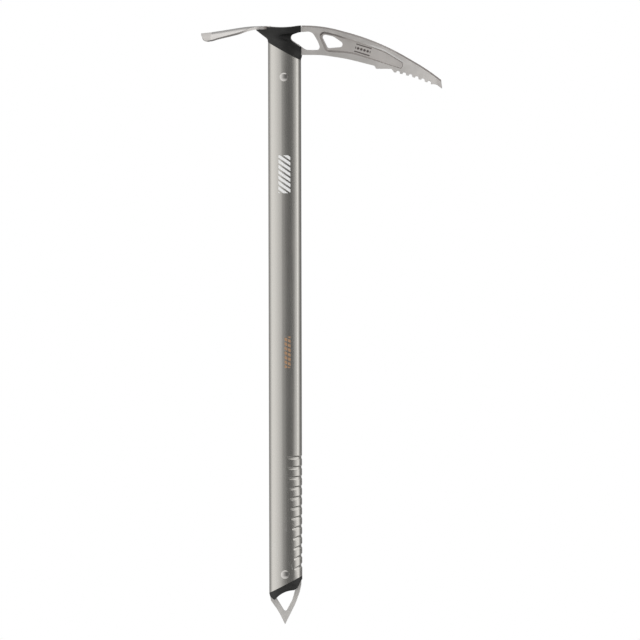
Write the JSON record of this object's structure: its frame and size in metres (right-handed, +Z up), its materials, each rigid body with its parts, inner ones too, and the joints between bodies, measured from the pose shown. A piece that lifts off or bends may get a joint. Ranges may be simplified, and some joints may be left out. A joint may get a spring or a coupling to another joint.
{
  "type": "ice axe",
  "caption": "Straight mountaineering ice axe: one-piece forged pick and adze, oval metal shaft with a grooved grip, and a riveted spike with an eye.",
  "frame": {"origin": "on the shaft's axis, level with the point of the spike", "axes": "+Z up the shaft to the head, +X towards the tip of the pick, -X towards the adze, Y = 0 is the middle plane of the pick"},
  "size_m": [0.241, 0.0476, 0.5997],
  "materials": {
    "head_steel": "satin, fine grain",
    "spike_steel": "satin, fine grain",
    "shaft_aluminium": "satin anodised",
    "rivet_metal": "satin",
    "black_nylon": "matte moulded",
    "packer_nylon": "matte moulded"
  },
  "bodies": {
    "root": {"head_forging": "head_steel", "head_cover_front": "black_nylon", "head_cover_rear": "black_nylon", "tang_packer_front": "packer_nylon", "tang_packer_rear": "packer_nylon", "head_rivet": "rivet_metal", "shaft_tube": "shaft_aluminium", "spike_plate": "spike_steel", "spike_plug": "black_nylon", "spike_rivet": "rivet_metal"}
  },
  "joints": []
}
